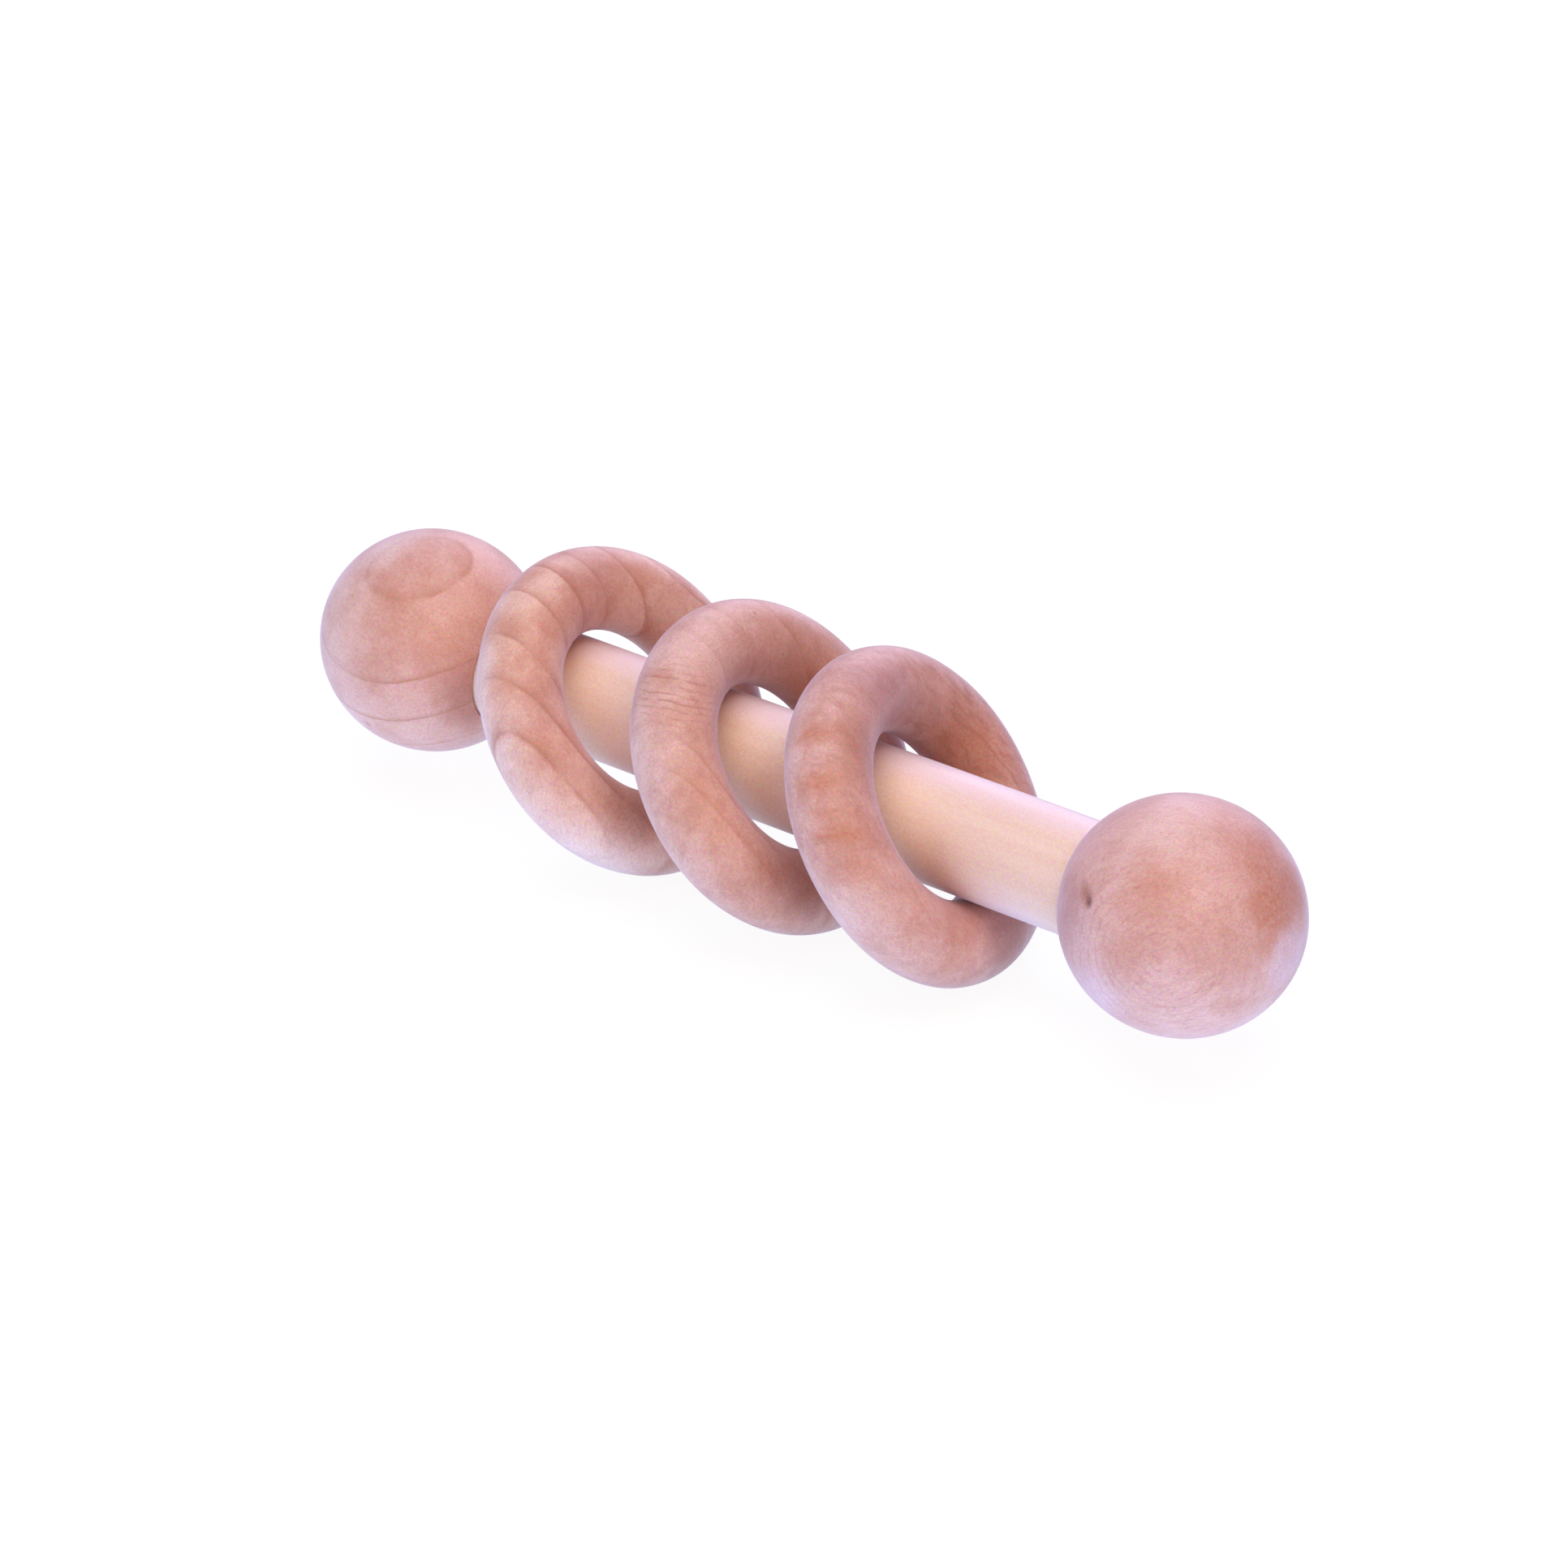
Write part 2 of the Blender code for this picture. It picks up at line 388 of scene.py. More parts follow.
# %% One block of pink-tan timber
ORANGE_TONE = tone(196, 116, 80)
LATE_WOOD_TONE = tone(190, 116, 84)
# The year-line tone also serves as painted shade on some pieces.
YEAR_LINE_AND_SHADE_TONE = tone(168, 95, 70)
FLECK_TONE = tone(184, 120, 102)
COOL_SHEEN = (0.74, 0.70, 1.0, 1.0)
WARM_SHARE = 0.15
FIBRE_SHARE = 0.32
PORE_SHARE = 0.30
SPECKLE_SHARE = 0.55
WIDE_DRIFT = (16.0, 1.4)
FINE_DRIFT = (2.4, 0.30)
GROUND_STRETCH = 2.0
FIBRE_STRETCH = 5.0
PORE_STRETCH = 4.0
FAINTEST_YEAR = 0.35
FIBRE_RANGE = (0.2, 0.8)
TIMBER_ROUGHNESS = (0.44, 0.58)
FIBRE_RELIEF = 0.6
LINE_RELIEF = 0.12


def gentle_drift(tree, place):
    return wandering(tree, wandering(tree, place, *WIDE_DRIFT), *FINE_DRIFT)


def timber_ground(tree, place, grain, pale, deep, mottle):
    clouds = cloud(tree, place, size=10.0, detail=4.0, rough=0.6)
    warm_place = drawn_out(tree, gentle_drift(tree, place), grain, GROUND_STRETCH)
    warm = cloud(tree, warm_place, size=4.5, detail=3.0, rough=0.6)
    patchy_place = drawn_out(tree, place, grain, GROUND_STRETCH)
    patchy = cloud(tree, patchy_place, size=1.9, detail=2.5, rough=0.65)
    colour = glaze(tree, between(tree, clouds, low=0.36, high=0.64), pale, deep)
    warmth = between(tree, warm, low=0.42, high=0.74, out_high=WARM_SHARE)
    colour = glaze(tree, warmth, colour, ORANGE_TONE)
    return glaze(tree, between(tree, patchy, low=0.36, high=0.70, out_high=mottle), colour, FLECK_TONE)


def turned_timber(
    name, pith, grain, years, pale, deep, line, edge=0.6, fade=3.4, mottle=0.0, ground=None, marks=None
):
    finish, tree = blank_finish(name)
    grain = tuple(Vector(grain).normalized())
    place = place_in_block(tree)
    depth = from_pith(tree, gentle_drift(tree, place), pith, grain)
    uneven = between(tree, cloud(tree, place, size=7.0), low=0.36, high=0.60, out_low=FAINTEST_YEAR)
    late_wood, edge_line = [
        times(tree, layer, uneven) for layer in year_lines(tree, depth, years, fade)
    ]
    fibre_place = drawn_out(tree, place, grain, FIBRE_STRETCH)
    fibre = cloud(tree, fibre_place, size=0.36, detail=3.0, rough=0.65)
    pores = cloud(tree, drawn_out(tree, place, grain, PORE_STRETCH), size=0.20, detail=1.0)

    colour = timber_ground(tree, place, grain, pale, deep, mottle)
    if ground:
        colour = ground(tree, place, colour)
    colour = glaze(tree, times(tree, late_wood, line), colour, LATE_WOOD_TONE)
    colour = glaze(tree, times(tree, edge_line, edge * line), colour, YEAR_LINE_AND_SHADE_TONE)
    if marks:
        colour = marks(tree, place, colour)
    fibres = between(tree, fibre, low=0.42, high=0.78, out_high=FIBRE_SHARE)
    colour = glaze(tree, fibres, colour, FLECK_TONE)
    specks = between(tree, pores, low=0.64, high=0.76, out_high=PORE_SHARE)
    colour = glaze(tree, specks, colour, YEAR_LINE_AND_SHADE_TONE)
    colour = speckled(tree, place, colour, SPECKLE_SHARE)

    roughness = between(tree, fibre, *FIBRE_RANGE, *TIMBER_ROUGHNESS)
    relief = sums(tree, "ADD", times(tree, fibre, FIBRE_RELIEF), times(tree, edge_line, LINE_RELIEF))
    oiled_surface(tree, colour, roughness, relief, depth=0.14, sheen=0.40, sheen_tint=COOL_SHEEN)
    print(name, "with", len(years), "year lines and", len(tree.nodes), "nodes")
    return finish


print("timber helpers:", gentle_drift.__name__, timber_ground.__name__, turned_timber.__name__)

# %% [markdown]
# ## Turning a piece
# Balls, rings and the stick are all made by turning, so one outline spun round an axis makes
# each of them. A ready-made sphere or torus would do at a glance, but it could not have the
# drilled mouth, and its surface would be too perfect. `spun` turns the outline, `sanded` moves
# the surface in by a few hundredths of a millimetre, as hand sanding does, and `wooden_piece`
# puts the finished mesh in its place on the body that carries it.

# %% Spinning an outline and sanding it
WELD = 0.001 * MM
SANDING_DEPTH = 0.045 * MM
SHARP_EDGE = math.radians(40)


def spun(outline, steps, closed=False):
    turned = bmesh.new()
    points = [turned.verts.new((along, 0.0, radius)) for along, radius in outline]
    ends = points[1:] + points[:1] if closed else points[1:]
    edges = [turned.edges.new(pair) for pair in zip(points, ends)]
    bmesh.ops.spin(
        turned, geom=points + edges, cent=(0, 0, 0), axis=(1, 0, 0), angle=math.tau, steps=steps
    )
    bmesh.ops.remove_doubles(turned, verts=turned.verts, dist=WELD)
    bmesh.ops.recalc_face_normals(turned, faces=turned.faces)
    return turned


def sanded(turned, size, depth, seed):
    turned.normal_update()
    shift = Vector((seed, 2.0 * seed, 3.0 * seed))
    moves = [noise.noise(v.co / size + shift) * depth for v in turned.verts]
    for vertex, move in zip(turned.verts, moves):
        vertex.co += vertex.normal * (move - depth)


def wooden_piece(name, turned, centre, finish, body):
    mesh = bpy.data.meshes.new(name)
    turned.to_mesh(mesh)
    turned.free()
    mesh.shade_smooth()
    mesh.set_sharp_from_angle(angle=SHARP_EDGE)
    mesh.materials.append(finish)
    piece = bpy.data.objects.new(name, mesh)
    piece.location = centre
    scene.collection.objects.link(piece)
    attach(piece, body)
    print(name, "rides on", body, "with", len(mesh.polygons), "faces")
    return piece


print("sanding takes off up to", 2 * SANDING_DEPTH / MM, "mm")

# %% [markdown]
# ## The three loose rings
# Each ring is turned with a round section, and leans on the stick as it would at rest. Its lean
# need not be typed in again: the CAD ring's own vertices give its centre, and the direction in
# which they spread least is the ring's axis. The new ring is turned about X and then swung
# onto that axis.

# %% Reading a ring's seat from the CAD
RING_TURNS = 192
STOCK_TURNS = 72
RING_SANDING = 11.0 * MM


def ring_seat(ring):
    points = np.array([v.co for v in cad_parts[ring].data.vertices])
    centre = (points.min(0) + points.max(0)) / 2
    axis = np.linalg.svd(points - centre, full_matrices=False)[2][2]
    reach = np.linalg.norm(points - centre, axis=1)
    middle, stock = (reach.max() + reach.min()) / 2, (reach.max() - reach.min()) / 2
    return Vector(centre), Vector(axis * np.sign(axis[0])), middle, stock


def loose_ring(ring, finish, seed):
    centre, axis, middle, stock = ring_seat(ring)
    around = [math.tau * step / STOCK_TURNS for step in range(STOCK_TURNS)]
    outline = [(stock * math.sin(a), middle + stock * math.cos(a)) for a in around]
    turned = spun(outline, RING_TURNS, closed=True)
    sanded(turned, RING_SANDING, SANDING_DEPTH, seed)
    swing = Vector((1.0, 0.0, 0.0)).rotation_difference(axis).to_matrix()
    bmesh.ops.rotate(turned, verts=turned.verts, cent=(0, 0, 0), matrix=swing)
    piece = wooden_piece(ring + "_turned", turned, centre, finish, ring)
    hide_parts(ring)
    return piece


for ring in ("ring_back", "ring_middle", "ring_front"):
    _, axis, middle, stock = ring_seat(ring)
    turned_by = math.degrees(axis.angle((1.0, 0.0, 0.0)))
    print(f"{ring}: {2 * (middle + stock) / MM:.1f} mm wide, axis {turned_by:.1f} degrees off the stick")

# %% [markdown]
# ### Stains, blotches and painted shade in the bores
# No block of wood has one even colour. It is paler in one place and more orange in the next.
# Some patches are painted light and shade: pale and lilac patches where bounce light falls, mauve
# and dark patches where shade falls, and a painted shade in each ring's bore round the stick. A
# painted picture could hold all this, but here each stain is a round place inside the block: its
# centre in millimetres from the middle of the piece, its radius, how softly it ends, and how much
# of the stain's colour it takes. `soft_stains` fade out like a cloud, and `blotches` have ragged,
# fibrous edges.

# %% Stain helpers
# Pale patches are partly paler wood and partly painted bounce light; the bore and mauve tones are
# painted shade.
PALE_AND_PAINTED_LIGHT_TONE = tone(250, 216, 208)
BORE_SHADE_TONE = tone(146, 84, 66)
MAUVE_SHADE_TONE = tone(164, 112, 120)
RAGGED_SWAY = (4.5, 3.2)
FINE_SWAY = (1.1, 0.9)
SOFT_SWAY = (4.5, 3.0)
BORE_EASE = 0.1
FAINTEST_STROKE = 0.55


def blotch(tree, place, centre, radius, soft):
    ragged = wandering(tree, wandering(tree, place, *RAGGED_SWAY), *FINE_SWAY)
    strokes = cloud(tree, ragged, size=0.8, detail=3.0, rough=0.7)
    strokes = between(tree, strokes, low=0.32, high=0.66, out_low=FAINTEST_STROKE)
    return times(tree, patch(tree, ragged, centre, radius, soft), strokes)


def blotches(tree, place, colour, stain, spots):
    for centre, radius, soft, share in spots:
        amount = times(tree, blotch(tree, place, centre, radius, soft), share)
        colour = glaze(tree, amount, colour, stain)
    return colour


def soft_stains(tree, place, colour, stain, spots):
    loose = wandering(tree, place, *SOFT_SWAY)
    for centre, radius, soft, share in spots:
        amount = times(tree, patch(tree, loose, centre, radius, soft), share)
        colour = glaze(tree, amount, colour, stain)
    return colour


# Painted shade in each ring's bore, round the stick.
def painted_bore_shade(tree, place, colour, ring, share):
    _, axis, middle, stock = ring_seat(ring)
    reach = from_pith(tree, place, (0.0, 0.0, 0.0), tuple(axis))
    wall, crown = (middle - stock) / MM, (middle - BORE_EASE * stock) / MM
    return glaze(tree, between(tree, reach, wall, crown, share, 0.0), colour, BORE_SHADE_TONE)


print("stain helpers:", blotches.__name__, soft_stains.__name__, painted_bore_shade.__name__)

# %% [markdown]
# ### The back ring
# This ring shows its years best: dark arcs sweep down its near side. They fit growth shells
# about an upright pith that lay behind the ring. Its lower end, its left rim and the lower edge
# of its far limb are paler, with painted bounce light there, and the years fade there. Its inner
# side by the middle ring and a gap on its far limb carry painted shade, and its mauve patches are
# painted shade as well.

# %% Stains of the back ring
def back_ring_ground(tree, place, colour):
    # Painted bounce light: pale patches on the far limb's lower edge and on the lower end.
    colour = soft_stains(tree, place, colour, PALE_AND_PAINTED_LIGHT_TONE, (
        ((-4.9, 12.0, 7.0), 7.0, 4.5, 0.58),
        ((5.5, -27.0, -7.0), 8.0, 6.0, 0.24),
        ((-5.5, -28.0, 6.0), 6.0, 5.0, 0.40),
    ))
    return blotches(tree, place, colour, ORANGE_TONE, (
        ((-3.6, -22.0, 14.5), 5.0, 4.0, 0.30),
        ((-8.7, 4.2, 22.2), 4.5, 3.5, 0.40),
        ((-7.0, -15.2, 19.4), 4.0, 3.5, 0.30),
    ))


def back_ring_marks(tree, place, colour):
    # Painted bounce light: pale patches on the lower limb and the left rim.
    colour = soft_stains(tree, place, colour, PALE_AND_PAINTED_LIGHT_TONE, (
        ((12.0, -22.4, -14.4), 8.0, 5.5, 0.60),
        ((-13.0, -21.5, 12.6), 4.5, 3.0, 0.34),
    ))
    # Painted shade: the first blotch darkens the inner side by the middle ring.
    colour = blotches(tree, place, colour, YEAR_LINE_AND_SHADE_TONE, (
        ((14.6, -16.5, -7.0), 5.0, 4.0, 0.52),
        ((-9.1, -2.2, 22.6), 2.2, 1.6, 0.45),
    ))
    # Painted shade on the inner side by the middle ring, and a dark painted shade on the far limb where
    # it is seen through a shaded gap.
    colour = soft_stains(tree, place, colour, BORE_SHADE_TONE, (
        ((14.4, -16.0, -6.6), 4.5, 3.5, 0.42),
        ((10.4, -17.8, -1.6), 3.5, 3.0, 0.30),
        ((10.2, 20.9, -1.6), 4.0, 2.0, 0.90),
    ))
    # Painted shade: mauve on the top and the near limb.
    colour = soft_stains(tree, place, colour, MAUVE_SHADE_TONE, (
        ((-9.2, 4.0, 22.2), 5.0, 4.0, 0.22),
        ((0.5, -21.0, 10.5), 4.5, 4.0, 0.20),
        ((7.0, -23.0, 2.0), 4.5, 4.0, 0.20),
    ))
    return painted_bore_shade(tree, place, colour, "ring_back", share=0.18)

# %% Back ring
back_ring_timber = turned_timber(
    "back_ring_timber",
    pith=(-10.0, 37.8, 31.9),
    grain=(-0.118, 0.039, -0.992),
    years=(15.4, 21.5, 29.0, 35.6, 41.5, 48.5, 56.4, 62.0, 67.2),
    pale=tone(235, 183, 162),
    deep=tone(215, 152, 129),
    line=0.58,
    edge=0.95,
    fade=3.6,
    mottle=0.10,
    ground=back_ring_ground,
    marks=back_ring_marks,
)
back_ring = loose_ring("ring_back", back_ring_timber, seed=1.7)

# %% [markdown]
# ### The middle ring
# Its block came from wood with fainter years, but where the fibres were squeezed near the upper
# left there is a patch of fine cross wrinkles. A sine wave across them gives evenly spaced
# ripples, a noise that is drawn out along them makes each one come and go, and a soft round
# patch keeps them in their place. One dark speck sits on top of the ring. Its inner side, its
# bore and a shaded gap on its far limb carry painted shade.

# %% Cross wrinkles and small marks of the middle ring
ACROSS_WRINKLES = (-0.168, 0.490, 0.855)
ALONG_WRINKLES = tuple(Vector((0.84, 0.53, -0.14)).normalized())
WRINKLE_GAP = 1.2
WRINKLE_TONE = tone(180, 100, 82)
WRINKLE_SHARE = 0.56
WRINKLE_SWAY = (8.0, 1.8)
WRINKLE_SHAKE = (2.0, 0.3)
RIPPLE_FOOT = 0.1
SQUEEZED = ((-7.4, -16.6, 18.6), 6.0, 3.4)
SPECK = ((-9.3, 7.3, 22.3), 0.35, 0.25)
SPECK_SHARE = 0.6


def ripples(tree, height, gap):
    wave = sums(tree, "SINE", times(tree, height, math.tau / gap))
    return between(tree, wave, RIPPLE_FOOT, 1.0)


def streaks(tree, place, run, stretch, size, low, high):
    return between(tree, cloud(tree, drawn_out(tree, place, run, stretch), size), low, high)


def middle_ring_marks(tree, place, colour):
    swayed = wandering(tree, wandering(tree, place, *WRINKLE_SWAY), *WRINKLE_SHAKE)
    wrinkles = ripples(tree, vectors(tree, "DOT_PRODUCT", swayed, ACROSS_WRINKLES), WRINKLE_GAP)
    uneven = streaks(tree, place, ALONG_WRINKLES, stretch=5.0, size=1.3, low=0.38, high=0.62)
    amount = times(tree, wrinkles, uneven)
    amount = times(tree, amount, patch(tree, place, *SQUEEZED))
    colour = glaze(tree, times(tree, amount, WRINKLE_SHARE), colour, WRINKLE_TONE)
    # Painted shade: the second blotch darkens the inner side of the ring.
    colour = blotches(tree, place, colour, YEAR_LINE_AND_SHADE_TONE, (
        ((-5.0, -22.8, 14.6), 1.8, 1.4, 0.25),
        ((14.2, -18.4, -5.8), 4.0, 3.0, 0.50),
        ((11.0, -24.0, -7.5), 2.4, 1.5, 0.22),
    ))
    colour = blotches(tree, place, colour, ORANGE_TONE, (((12.6, -22.3, -11.2), 4.5, 3.5, 0.20),))
    # Painted shade: the ring is darkened on its inner side and in a shaded gap on its far limb.
    colour = soft_stains(tree, place, colour, BORE_SHADE_TONE, (
        ((16.6, -14.2, -9.0), 5.0, 3.5, 0.60),
        ((18.6, -12.4, -13.0), 4.0, 3.0, 0.36),
        ((-4.0, 13.6, 15.4), 5.0, 4.0, 0.16),
        ((9.2, 20.4, -1.8), 4.0, 2.0, 0.90),
    ))
    colour = soft_stains(tree, place, colour, PALE_AND_PAINTED_LIGHT_TONE, (
        ((-8.0, -7.0, 21.5), 6.0, 5.0, 0.24),
        ((-6.5, -24.5, 11.0), 5.0, 4.0, 0.26),
    ))
    speck = times(tree, patch(tree, place, *SPECK), SPECK_SHARE)
    colour = glaze(tree, speck, colour, YEAR_LINE_AND_SHADE_TONE)
    return painted_bore_shade(tree, place, colour, "ring_middle", share=0.42)


print("wrinkles every", WRINKLE_GAP, "mm")

# %% Middle ring
middle_ring_timber = turned_timber(
    "middle_ring_timber",
    pith=(-10.0, 37.8, 31.9),
    grain=(-0.118, 0.039, -0.992),
    years=(19.0, 27.5, 36.5, 45.0, 54.5, 61.2, 65.4),
    pale=tone(225, 173, 158),
    deep=tone(212, 153, 133),
    line=0.36,
    fade=2.4,
    mottle=0.30,
    marks=middle_ring_marks,
)
middle_ring = loose_ring("ring_middle", middle_ring_timber, seed=4.1)

# %% [markdown]
# ### The front ring
# The front ring is the brownest. Curly fibres cross its near side in ragged orange-brown patches,
# one below the other, with fine threads between them. Each patch is a blotch that is drawn out
# across the limb, and the threads are one noise drawn out the same way. Longer threads run down
# the far limb, and the top of the ring has a little painted mauve shade. Its bore and its inner
# side carry painted shade.

# %% Curly patches of the front ring
BROWN_TONE = tone(160, 90, 66)
CURL_RUN = tuple(Vector((0.80, 0.58, 0.10)).normalized())
CURL_STRETCH = 2.2
THREAD_SHARE = 0.14
LONG_THREAD_SHARE = 0.34
NEAR_LIMB = ((-1.0, -24.0, 12.0), 14.0, 6.0)
FAR_LIMB = ((-1.0, 17.0, 9.0), 15.0, 4.0)
FAR_LIMB_RUN = tuple(Vector((0.45, 0.45, -0.77)).normalized())


def spot_drawn_out(centre, run, stretch):
    centre, run = Vector(centre), Vector(run)
    return tuple(centre - run * centre.dot(run) * (1.0 - 1.0 / stretch))


def front_ring_marks(tree, place, colour):
    loose = wandering(tree, place, size=3.0, amount=1.2)
    threads = streaks(tree, loose, CURL_RUN, stretch=7.0, size=0.85, low=0.50, high=0.68)
    threads = times(tree, threads, patch(tree, place, *NEAR_LIMB))
    colour = glaze(tree, times(tree, threads, THREAD_SHARE), colour, BROWN_TONE)
    level = drawn_out(tree, place, CURL_RUN, CURL_STRETCH)
    curls = (
        ((-7.2, -17.2, 20.6), 1.8, 1.5, 0.84),
        ((-3.0, -22.6, 16.0), 1.8, 1.5, 0.84),
        ((0.2, -24.8, 12.4), 1.2, 1.1, 0.26),
        ((2.5, -26.0, 9.6), 1.5, 1.3, 0.70),
        ((6.8, -26.4, 4.4), 1.8, 1.6, 0.62),
    )
    curls = [(spot_drawn_out(centre, CURL_RUN, CURL_STRETCH), *rest) for centre, *rest in curls]
    colour = blotches(tree, level, colour, ORANGE_TONE, curls)
    colour = blotches(tree, place, colour, ORANGE_TONE, (
        ((1.0, 18.8, 4.5), 8.0, 6.0, 0.50),
        ((-5.0, 12.0, 17.0), 4.0, 3.0, 0.30),
        ((14.9, -21.4, -6.0), 3.5, 3.0, 0.22),
        ((18.2, -12.5, -12.5), 5.0, 4.0, 0.30),
        ((-1.9, -15.6, 18.7), 2.2, 2.0, 0.34),
    ))
    # Painted shade: the bore where the stick leaves the ring at the bottom, and the inner side.
    colour = soft_stains(tree, place, colour, BORE_SHADE_TONE, (
        ((20.2, -2.4, -14.6), 6.0, 4.0, 0.54),
        ((16.6, -14.0, -7.0), 4.5, 4.0, 0.26),
        ((-2.2, -12.6, 18.6), 4.5, 4.0, 0.26),
    ))
    colour = soft_stains(tree, place, colour, PALE_AND_PAINTED_LIGHT_TONE, (
        ((8.0, -27.0, -1.5), 6.5, 5.0, 0.26),
        ((14.0, -22.0, -10.8), 5.0, 4.0, 0.12),
    ))
    loose = wandering(tree, place, size=5.0, amount=3.0)
    threads = streaks(tree, loose, FAR_LIMB_RUN, stretch=6.0, size=1.1, low=0.50, high=0.66)
    threads = times(tree, threads, patch(tree, place, *FAR_LIMB))
    colour = glaze(tree, times(tree, threads, LONG_THREAD_SHARE), colour, BROWN_TONE)
    # Painted shade: mauve on the top of the ring.
    colour = soft_stains(tree, place, colour, MAUVE_SHADE_TONE, (
        ((-9.5, 4.0, 18.0), 4.5, 3.5, 0.40),
        ((-7.8, -2.0, 23.2), 5.0, 4.0, 0.34),
    ))
    return painted_bore_shade(tree, place, colour, "ring_front", share=0.42)


print("curls drawn out", CURL_STRETCH, "times across the limb")

# %% Front ring
front_ring_timber = turned_timber(
    "front_ring_timber",
    pith=(-4.0, 40.0, -12.0),
    grain=(0.78, 0.14, -0.61),
    years=(14.0, 19.0, 24.5, 30.0, 36.5, 43.0, 50.0),
    pale=tone(223, 169, 156),
    deep=tone(209, 149, 131),
    line=0.16,
    mottle=0.40,
    marks=front_ring_marks,
)
front_ring = loose_ring("ring_front", front_ring_timber, seed=6.3)

# %% [markdown]
# ## The two balls
# Each ball is turned a touch longer than it is wide, then drilled to take the stick. Spinning
# one outline that runs over the ball, round the softened lip and down into the drilled hole
# gives the whole solid at once, with no Boolean to clean up after.

# %% A drilled ball
BALL_LENGTH = 39.4 * MM
BALL_DIAMETER = 38.1 * MM
HOLE_RADIUS = 9.75 * MM
HOLE_DEPTH = 18.0 * MM
LIP_EASE = 0.25 * MM
BALL_TURNS = 144
BALL_POINTS = 96
LIP_POINTS = 5
BALL_SANDING = 13.0 * MM


def ball_outline():
    long, wide = BALL_LENGTH / 2, BALL_DIAMETER / 2
    lip_radius = HOLE_RADIUS + LIP_EASE
    lip_turn = math.pi - math.asin(lip_radius / wide)
    turns = [lip_turn * step / BALL_POINTS for step in range(BALL_POINTS + 1)]
    outline = [(long * math.cos(t), wide * math.sin(t)) for t in turns]
    lip = long * math.cos(lip_turn)
    for step in range(1, LIP_POINTS + 1):
        t = math.pi / 2 * step / LIP_POINTS
        outline.append((lip + LIP_EASE * (1 - math.cos(t)), lip_radius - LIP_EASE * math.sin(t)))
    outline += [(lip + HOLE_DEPTH, HOLE_RADIUS), (lip + HOLE_DEPTH, 0.0)]
    outline[0] = (long, 0.0)
    return outline


def drilled_ball(ball, outward, finish, seed, carve=None):
    low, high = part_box(ball)
    centre = (low + high) / 2
    centre.x = (high.x if outward > 0 else low.x) - outward * BALL_LENGTH / 2
    turned = spun(ball_outline(), BALL_TURNS)
    if outward < 0:
        bmesh.ops.rotate(
            turned, verts=turned.verts, cent=(0, 0, 0), matrix=Matrix.Rotation(math.pi, 3, "Z")
        )
    sanded(turned, BALL_SANDING, SANDING_DEPTH, seed)
    if carve:
        carve(turned)
    piece = wooden_piece(ball + "_turned", turned, centre, finish, "handle")
    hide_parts(ball)
    return piece


print("ball outline of", len(ball_outline()), "points")

# %% [markdown]
# ### A knot and a nick
# The front ball has one pin knot: a small dark pit where a twig began. The back ball has a nick
# low on its near side. A bump map could shade them, but a real pit catches shade from every
# side. The ball's faces are too large for it, so the faces round the place are first cut finer,
# and then pressed in.

# %% Pressing a small pit into a ball
PIT_REACH = 3.2 * MM
PIT_CUTS = 4


def press_pit(turned, place, run, depth, width, length):
    centre, run = Vector(place) * MM, Vector(run).normalized()
    near = [f for f in turned.faces if (f.calc_center_median() - centre).length < PIT_REACH]
    edges = list({edge for face in near for edge in face.edges})
    bmesh.ops.subdivide_edges(turned, edges=edges, cuts=PIT_CUTS, use_grid_fill=True)
    turned.normal_update()
    inward = -centre.normalized()
    for vertex in turned.verts:
        reach = vertex.co - centre
        if reach.length < PIT_REACH:
            along = reach.dot(run)
            across = (reach - run * along).length
            vertex.co += inward * depth * math.exp(-((along / length) ** 2) - (across / width) ** 2)
    print("pit of", round(depth / MM, 2), "mm in", len(near), "faces")


print("a pit is cut within", PIT_REACH / MM, "mm")

# %% [markdown]
# ### The back ball
# Its year lines lie almost level. Seen from the front, the top one closes into an oval, and the
# next ones run round the ball like the lines on a globe. The wood is more orange inside the oval.
# A dark patch low on its right, by the back ring, is painted shade, and pale patches at its top
# left are a painted highlight.

# %% Stains of the back ball
NICK = (-1.2, -16.5, -9.4)
NICK_SHARE = 0.5


def back_ball_marks(tree, place, colour):
    colour = blotches(tree, place, colour, ORANGE_TONE, (
        ((2.2, -8.0, 17.3), 3.4, 2.8, 0.36),
        ((13.8, -3.6, 13.2), 5.0, 4.0, 0.30),
        ((6.8, -10.3, 14.6), 4.0, 3.5, 0.26),
    ))
    # Painted shade low on the right side, where the back ring shades the ball.
    colour = soft_stains(tree, place, colour, YEAR_LINE_AND_SHADE_TONE, (((16.4, -9.6, -2.0), 5.5, 4.0, 0.60),))
    # Painted highlight: pale patches on the top-left rim.
    colour = soft_stains(tree, place, colour, PALE_AND_PAINTED_LIGHT_TONE, (
        ((-6.0, -1.0, 18.6), 4.5, 3.5, 0.45),
        ((-5.5, -5.4, 17.2), 3.5, 2.5, 0.34),
    ))
    nick = times(tree, patch(tree, place, NICK, radius=0.5, soft=0.4), NICK_SHARE)
    return glaze(tree, nick, colour, YEAR_LINE_AND_SHADE_TONE)


def nick_back_ball(turned):
    press_pit(turned, NICK, (1.0, 0.0, 0.0), depth=0.12 * MM, width=0.35 * MM, length=0.6 * MM)


print("nick at", NICK, "mm from the middle of the back ball")

